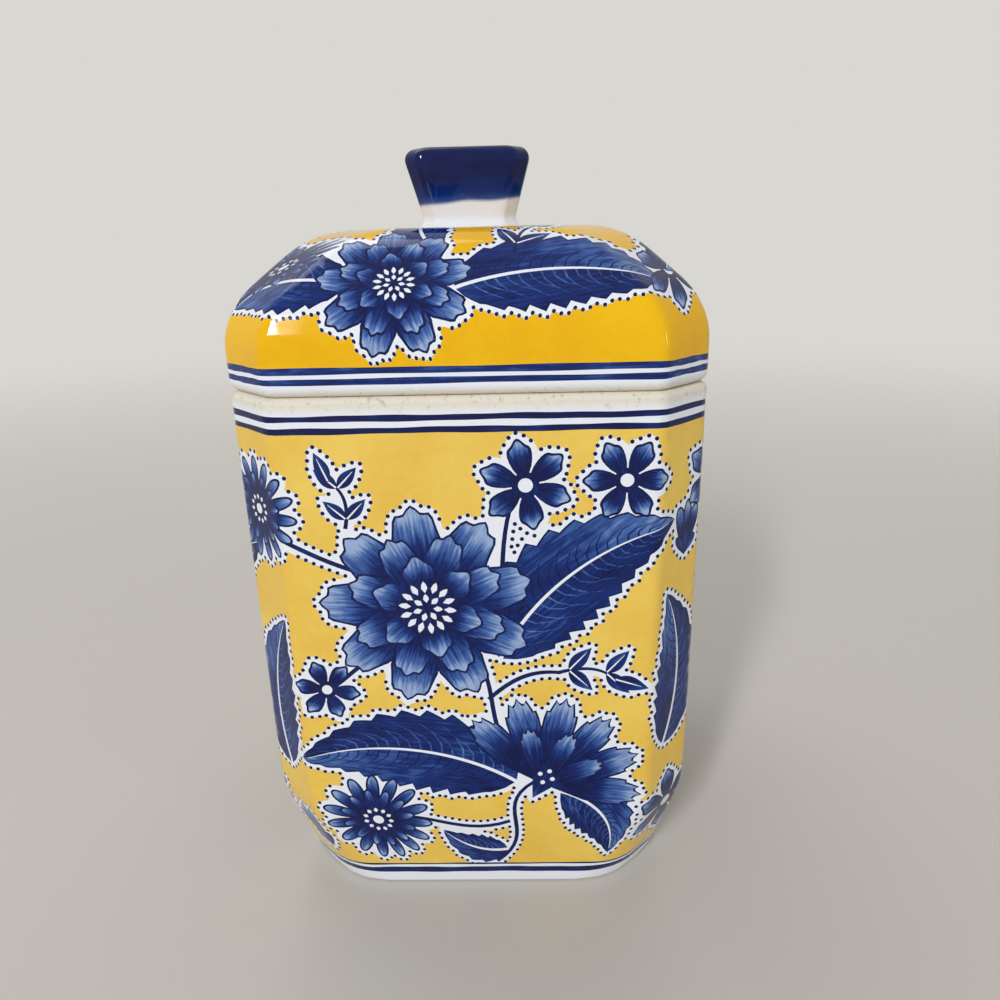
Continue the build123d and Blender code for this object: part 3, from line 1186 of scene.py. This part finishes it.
def jar_marks(size, wrap, margin=20.0):
    """The jar's flowers in their borders, and over them its white ends and blue bands.

    The sheet goes half round and the flowers come again past its sides, by a margin.
    """
    span, top = 2 * wrap.quarter, wrap.top
    left, right = -wrap.quarter - margin, wrap.quarter + margin
    flowers = []
    for one in jar_flowers():
        for shift in (-span, 0, span):
            moved = one.points + (shift, 0)
            if moved[:, 0].max() > left and moved[:, 0].min() < right:
                flowers.append(one._replace(points=moved, axis=one.axis + (shift, 0)))
    marks = bordered(flowers, (left, 0), (right, top), size, span)
    # These repeat over the span, so that they meet at the joins
    ends = -1.5 * span, 1.5 * span
    marks.append(stripe(*ends, -1, wrap.level(WHITE_FOOT), ink=WHITE))
    marks.append(stripe(*ends, wrap.level(WHITE_RIM), top + 1, ink=WHITE))
    for low, high, dark, wobble in JAR_BANDS:
        marks.append(stripe(*ends, wrap.level(low), wrap.level(high), dark, wobble))
    return marks


def jar_skin(sheet, wrap):
    """A sheet wrapped round the jar twice, the second half turned half round.

    The second half's edges take the first half's points. It gives the points, their normals,
    their places on the sheet and the faces.
    """
    u, v = sheet.places.T
    edge = wrap.quarter
    turned = (-1, -1, 1)
    half = wrap.place(u, v)
    normals = surface_normals(wrap.place, u, v)
    points = np.vstack((half, half * turned))
    normals = np.vstack((normals, normals * turned))
    places = np.vstack((sheet.places, sheet.places + (2 * edge, 0)))
    number = np.arange(len(points))
    left = edge_points(u + edge, v)
    right = edge_points(u - edge, v)
    for mine, other in ((left, right), (right, left)):
        apart = np.abs(v[other, None] - v[mine])
        met = apart.min(axis=1) < MERGE
        number[len(half) + other[met]] = mine[apart.argmin(axis=1)[met]]
    faces = number[np.vstack((sheet.faces, sheet.faces + len(half)))]
    kept, faces = np.unique(faces, return_inverse=True)
    return points[kept], normals[kept], places[kept], faces.reshape(-1, 3)


def jar_inside(size, wiped=4.0, levels=30):
    """Sections over the rim and down the inside to the floor, and how bare each one is.

    The glaze is wiped off the rim and starts a little way down the inside.
    """
    turns = QUARTER_TURN
    rim, outer, inner, wall = size["jar_height"], size["rim_outer"], size["rim_inner"], size["wall"]
    floor, sweep = size["floor"], size["floor_round"]
    heights = np.concatenate((
        rim - outer + outer * np.sin(turns[1:]),
        rim - inner + inner * np.cos(turns),
        np.linspace(rim - wiped, floor + sweep, levels),
        floor + sweep * (1 - np.sin(turns[1:])),
    ))
    depths = np.concatenate((
        outer * (1 - np.cos(turns[1:])),
        wall - inner + inner * np.sin(turns),
        np.full(levels, wall),
        wall + sweep * (1 - np.cos(turns[1:])),
    ))
    rows = jar_section(size, heights, depths, size["corner_round"])
    return rows, [1.0] * (2 * len(turns) - 1) + [0.6] + [0.0] * len(rows)


def jar_underside(size, ring_edge=0.3, recess_edge=0.4, least_round=3.0):
    """Sections round the foot ring and into its recess, and how bare each one is.

    The ring that the jar stands on is bare, and the recess is glazed.
    """
    turns = QUARTER_TURN[1:]
    edge, ring, recess = size["foot_edge"], size["foot_ring"], size["foot_recess"]
    heights = np.concatenate((
        edge - edge * np.sin(turns), (0, 0, ring_edge, recess - recess_edge, recess)))
    depths = np.concatenate((
        edge * (1 - np.cos(turns)),
        (ring - ring_edge, ring - ring_edge / 3, ring, ring, ring + recess_edge)))
    rows = jar_section(size, heights, depths, np.maximum(size["foot_round"] - depths, least_round))
    return rows, [0.0, 0.3] + [1.0] * (len(rows) - 3) + [0.4, 0.0]


class CANISTER_OT_jar(bpy.types.Operator):
    """Make the painted jar"""

    bl_idname = "canister.jar"
    bl_label = "Jar"

    def execute(self, context):
        size, tone = sizes(), colours()
        wrap = JarWrap(size)
        edge, top = wrap.quarter, wrap.top
        outline = ((-edge, 0), (edge, 0), (edge, top), (-edge, top))
        sheet = cut_sheet(outline, jar_marks(size, wrap), wrap.grid(), lambda places: places)
        points, normals, places, faces = jar_skin(sheet, wrap)
        paint = np.vstack((sheet.paint, sheet.paint)).reshape(-1, 4)
        paint[:, 3] = np.clip((points[faces.ravel(), 2] - WIPED_RIM) / WIPED_FADE, 0, 1)
        brush = np.vstack((sheet.brush, sheet.brush)).reshape(-1, 3)

        # The inside goes on from the skin's top edge, and the underside from its lower edge
        upper = edge_points(points[:, 2] - (size["jar_height"] - size["rim_outer"]), places[:, 0])
        lower = edge_points(points[:, 2] - size["foot_edge"], -places[:, 0])
        faces = [tuple(face) for face in faces]
        for start, (rows, clay) in ((upper, jar_inside(size)), (lower, jar_underside(size))):
            more, more_faces, bare = swept(*wrap.sides(places[start, 0]), rows, start, len(points), clay)
            points = np.vstack((points, more))
            faces += more_faces
            paint = np.vstack((paint, bare_paint(bare)))
        brush = np.vstack((brush, np.zeros((len(paint) - len(brush), 3))))
        glaze = painted_glaze(
            "Jar, painted and glazed white ware", tone, tone["jar_yellow"], tone["jar_yellow_deep"])
        make_piece(
            "jar_painted", points, faces, paint, brush, normals, glaze, "jar", "jar_body")
        return {"FINISHED"}


# The lid. A band reaches up to a height over the seat, in millimetres, with its ink and how
# dark it is, and each is laid as a whole sheet over the one before.
LID_BANDS = ((3.6, COBALT, 0.76), (5.3, WHITE, 0), (6.4, COBALT, 0.74), (8.2, GROUND, 0))
BAND_WOBBLE = 0.08


def lid_flowers(wrap):
    """Flowers for the front and one side of the lid."""
    front = bunch(
        (leaf, -2, 26, -82, 58, 14, 8, 10), (leaf, -30, 28, 92, 40, 11, -7, 8),
        (leaf, -8, 40, 12, 30, 9, 6, 7), (sprig, 14, 38, -18, 26, 3),
        (peony, -18, 28, 4, 21), (blossom, 62, 30, 0, 12),
    )
    side = bunch(
        (leaf, 6, 28, 80, 54, 13, -8, 10), (leaf, 18, 28, -78, 38, 10, 7, 8),
        (leaf, -6, 40, 10, 28, 8, -5, 7), (sprig, 20, 38, -10, 24, -3),
        (carnation, 8, 24, -4, 20), (aster, 48, 34, 0, 12),
    )
    return wrap.laid(front, 0) + wrap.laid(side, 1)


def lid_marks(size, wrap, cuff_width=1.6, cuff_cut=1.0, cuff_round=4.0, cuff_steps=6):
    """The lid's bands, its flowers in their borders, and a white cuff round the knob's root."""
    marks = [mark(wrap.ring(-1.0), ink=WHITE)]
    for height, ink, dark in LID_BANDS:
        inset = wrap.level(size["jar_height"] + height)
        marks.append(mark(wrap.ring(inset, wobble=BAND_WOBBLE), (dark, dark), ink=ink))
    flowers = []
    for one in lid_flowers(wrap):
        for way in (1, -1):
            flowers.append(one._replace(points=one.points * way, axis=one.axis * way))
    # The grid of distances reaches a little past the sheet
    reach = wrap.total * 1.12
    marks += bordered(flowers, (-reach, -reach), (reach, reach), size)
    root = size["knob_root"] / 2 + cuff_width
    rows = section(np.zeros(cuff_steps * SIDES), 2 * root, size["knob_cut"] + cuff_cut, cuff_round)
    cuff = ring_points(*round_sides(cuff_steps), rows)
    marks.append(mark(cuff[:, :2], ink=WHITE))
    return marks


def lid_underside(size, seat_edge=0.3):
    """Sections round the lower edge and the seat and up under the dome, and how bare each one is."""
    turns = QUARTER_TURN[1:]
    seat, edge, wall = size["jar_height"], size["lid_edge"], size["lid_wall"]
    heights = np.concatenate((seat + edge * (1 - np.sin(turns)), (seat,)))
    depths = np.concatenate((edge * (1 - np.cos(turns)), (wall - seat_edge,)))
    rows = np.vstack((
        section(heights, size["jar_width"], size["corner_cut"], size["corner_round"], depths),
        lid_section(size, wall, seat_edge)[:-1]))
    return rows, [0.0, 0.2, 0.8] + [1.0] * len(turns) + [0.4] + [0.0] * len(rows)


class CANISTER_OT_lid(bpy.types.Operator):
    """Make the painted lid"""

    bl_idname = "canister.lid"
    bl_label = "Lid"

    def execute(self, context):
        size, tone = sizes(), colours()
        wrap = LidWrap(size)
        sheet = cut_sheet(wrap.ring(0), lid_marks(size, wrap), wrap.grid(), wrap.banding)
        x, y = sheet.places.T
        points = wrap.place(x, y)
        normals = surface_normals(wrap.place, x, y)
        side, share, inset = wrap.sides(x, y)
        lower = edge_points(inset, -np.arctan2(y, x))
        rows, clay = lid_underside(size)
        under, under_faces, bare = swept(side[lower], share[lower], rows, lower, len(points), clay)
        paint = np.vstack((sheet.paint.reshape(-1, 4), bare_paint(bare)))
        brush = sheet.brush.reshape(-1, 3)
        brush = np.vstack((brush, np.zeros((len(paint) - len(brush), 3))))
        glaze = painted_glaze(
            "Lid, painted and glazed white ware", tone, tone["lid_yellow"], tone["lid_yellow_deep"])
        make_piece(
            "lid_painted", np.vstack((points, under)),
            [tuple(face) for face in sheet.faces] + under_faces, paint, brush, normals, glaze,
            "lid", "lid_shell")
        return {"FINISHED"}


# The knob
def knob_shape(size, levels=48, steps=14):
    """Points and faces of the knob, from its root up to its top, closed underneath."""
    path = rounded_path(
        (
            (size["knob_root"] / 2, 0),
            (size["knob_neck"] / 2, size["knob_neck_height"]),
            (size["knob_top"] / 2, size["knob_height"]),
            (0, size["knob_height"]),
        ),
        (size["knob_neck_round"], size["knob_edge"]),
    )[:-1]
    crown = size["jar_height"] + size["lid_height"]
    rows = section(crown + path[:, 1], 2 * path[:, 0], size["knob_cut"], size["knob_round"])
    rows = along(rows, np.linspace(0, travel(rows)[-1], levels))
    side, share = round_sides(steps)
    count = len(side)
    first = ring_points(side, share, np.repeat(rows[:1], count, axis=0))
    body, faces, _ = swept(side, share, rows[1:], range(count), count, [0.0] * (len(rows) + 1))
    points = np.vstack((first, body, ((0, 0, crown),)))
    faces += [((i + 1) % count, i, len(points) - 1) for i in range(count)]
    return points, faces


class CANISTER_OT_knob(bpy.types.Operator):
    """Make the dipped knob"""

    bl_idname = "canister.knob"
    bl_label = "Knob"

    def execute(self, context):
        size, tone = sizes(), colours()
        points, faces = knob_shape(size)

        # The knob was dipped aslant to a wavering line, and the cobalt thins towards it
        dip_height, slant, fade, deepen = 7.5, 0.065, 1.2, 14.0
        thinnest, at_line, fullest = 0.4, 0.5, 0.98
        x, y, z = points.T
        turn = np.arctan2(y, x)
        line = size["jar_height"] + size["lid_height"] + dip_height + slant * x
        line = line + 0.25 * np.sin(3 * turn + 1) + 0.2 * np.sin(7 * turn)
        rise = np.clip((z - line + fade / 2) / fade, 0, 1)
        dark = np.clip(at_line + (z - line) / deepen, thinnest, fullest)
        corners = np.array([i for face in faces for i in face])
        paint = np.zeros((len(corners), 4))
        paint[:, 0] = (rise * rise * (3 - 2 * rise))[corners]
        paint[:, 1] = dark[corners]
        # The dip leaves no brush strokes, only soft rings four times as broad as the hairs' streaks
        middle_radius, broader = 18, 4
        brush = np.column_stack((turn * middle_radius, z / broader, np.zeros(len(z))))[corners]
        glaze = painted_glaze(
            "Knob, dipped and glazed white ware", tone, tone["white"], tone["white"], streak=0.25)
        make_piece(
            "knob_dipped", points, faces, paint, brush, np.zeros((0, 3)), glaze,
            "lid", "knob")
        return {"FINISHED"}


class CANISTER_OT_flange(bpy.types.Operator):
    """Finish the locating flange under the lid"""

    bl_idname = "canister.flange"
    bl_label = "Flange"

    def execute(self, context):
        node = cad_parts["lid_flange"]
        material = wiped_ware(colours())
        for held in node.material_slots:
            held.material = material
        return {"FINISHED"}


# The stage, in metres and watts. The back wall only fills the shaded sides, so it doesn't
# show in the glaze, which mirrors the backdrop there.
FLOOR_HALF = 6.0
Lamp = namedtuple("Lamp", "name place aim wide tall lean power mirrored")
LAMPS = (
    Lamp("window", (-0.66, -1.6, 1.15), (0, 0, 0.12), 0.13, 0.8, 0.2, 22.0, True),
    Lamp("side window", (1.28, -0.97, 0.32), (0, 0, 0.15), 0.08, 0.5, 0.0, 2.0, True),
    Lamp("skylight", (-0.7, 0.75, 1.8), (0, 0, 0.1), 1.0, 1.0, 0.0, 6.0, True),
    Lamp("back wall", (0.4, 1.9, 0.9), (0, 0, 0.1), 2.4, 1.6, 0.0, 15.0, False),
)
# Where the photograph was taken from, which way the camera looked, in radians, and its lens
CAMERA_PLACE = (0.013692, -0.273137, 0.207789)
CAMERA_PITCH = 0.3246086
CAMERA_YAW = -0.0234318
CAMERA_ROLL = 0.0239556
LENS_MM = 28.08
SENSOR_MM = 36.0


def lamp_holder(lamp):
    """A lamp of the studio, turned towards its aim."""
    light = bpy.data.lights.new(lamp.name, "AREA")
    light.shape = "RECTANGLE"
    light.size = lamp.wide
    light.size_y = lamp.tall
    light.energy = lamp.power
    holder = bpy.data.objects.new(lamp.name, light)
    holder.visible_glossy = lamp.mirrored
    holder.location = lamp.place
    aimed = (Vector(lamp.aim) - Vector(lamp.place)).to_track_quat("-Z", "Y")
    holder.rotation_euler = (aimed @ Quaternion((0, 0, 1), lamp.lean)).to_euler()
    return holder


def photo_camera():
    """The camera where the photograph was taken from."""
    pitch, yaw, roll = CAMERA_PITCH, CAMERA_YAW, CAMERA_ROLL
    ahead = Vector((sin(yaw) * cos(pitch), cos(yaw) * cos(pitch), -sin(pitch)))
    across = Vector((cos(yaw), -sin(yaw), 0))
    down = ahead.cross(across)
    level = across * cos(roll) + down * sin(roll)
    drop = down * cos(roll) - across * sin(roll)
    lens = bpy.data.cameras.new("camera")
    lens.sensor_width = SENSOR_MM
    lens.lens = LENS_MM
    lens.clip_start = 0.01
    camera = bpy.data.objects.new("camera", lens)
    turned = Matrix((level, -drop, -ahead)).transposed().to_4x4()
    camera.matrix_world = Matrix.Translation(CAMERA_PLACE) @ turned
    return camera


class CANISTER_OT_stage(bpy.types.Operator):
    """Set the floor, the lights and the camera"""

    bl_idname = "canister.stage"
    bl_label = "Stage"

    def execute(self, context):
        tone = colours()
        scene = context.scene
        scene.view_settings.view_transform = "Standard"
        mesh = bpy.data.meshes.new("floor")
        corners = [(x * FLOOR_HALF, y * FLOOR_HALF, 0) for x, y in ((-1, -1), (1, -1), (1, 1), (-1, 1))]
        mesh.from_pydata(corners, [], [(0, 1, 2, 3)])
        mesh.materials.append(matt_board(tone))
        board = bpy.data.objects.new("floor", mesh)
        scene.collection.objects.link(board)
        scene.world = studio(tone)
        for lamp in LAMPS:
            scene.collection.objects.link(lamp_holder(lamp))
        camera = photo_camera()
        scene.collection.objects.link(camera)
        scene.camera = camera
        return {"FINISHED"}


class CANISTER_PT_panel(bpy.types.Panel):
    """Lists the canister's steps and what can be changed"""

    bl_idname = "CANISTER_PT_panel"
    bl_label = "Painted Canister"
    bl_space_type = "VIEW_3D"
    bl_region_type = "UI"
    bl_category = "Canister"

    def draw(self, context):
        for step in STEPS:
            self.layout.operator(step.bl_idname)
        scene = context.scene
        for held in (scene.canister_sizes, scene.canister_colours):
            column = self.layout.column(align=True)
            for name in type(held).__annotations__:
                column.prop(held, name)


STEPS = (CANISTER_OT_jar, CANISTER_OT_lid, CANISTER_OT_knob, CANISTER_OT_flange, CANISTER_OT_stage)
CLASSES = (CanisterSizes, CanisterColours) + STEPS + (CANISTER_PT_panel,)


def register():
    """Adds the classes and the scene's settings."""
    for one in CLASSES:
        bpy.utils.register_class(one)
    bpy.types.Scene.canister_sizes = PointerProperty(type=CanisterSizes)
    bpy.types.Scene.canister_colours = PointerProperty(type=CanisterColours)


def unregister():
    """Takes them away again."""
    del bpy.types.Scene.canister_colours
    del bpy.types.Scene.canister_sizes
    for one in reversed(CLASSES):
        bpy.utils.unregister_class(one)


def main():
    """Makes every piece in order."""
    register()
    bpy.ops.canister.jar()
    bpy.ops.canister.lid()
    bpy.ops.canister.knob()
    bpy.ops.canister.flange()
    bpy.ops.canister.stage()


if __name__ == "__main__":
    main()
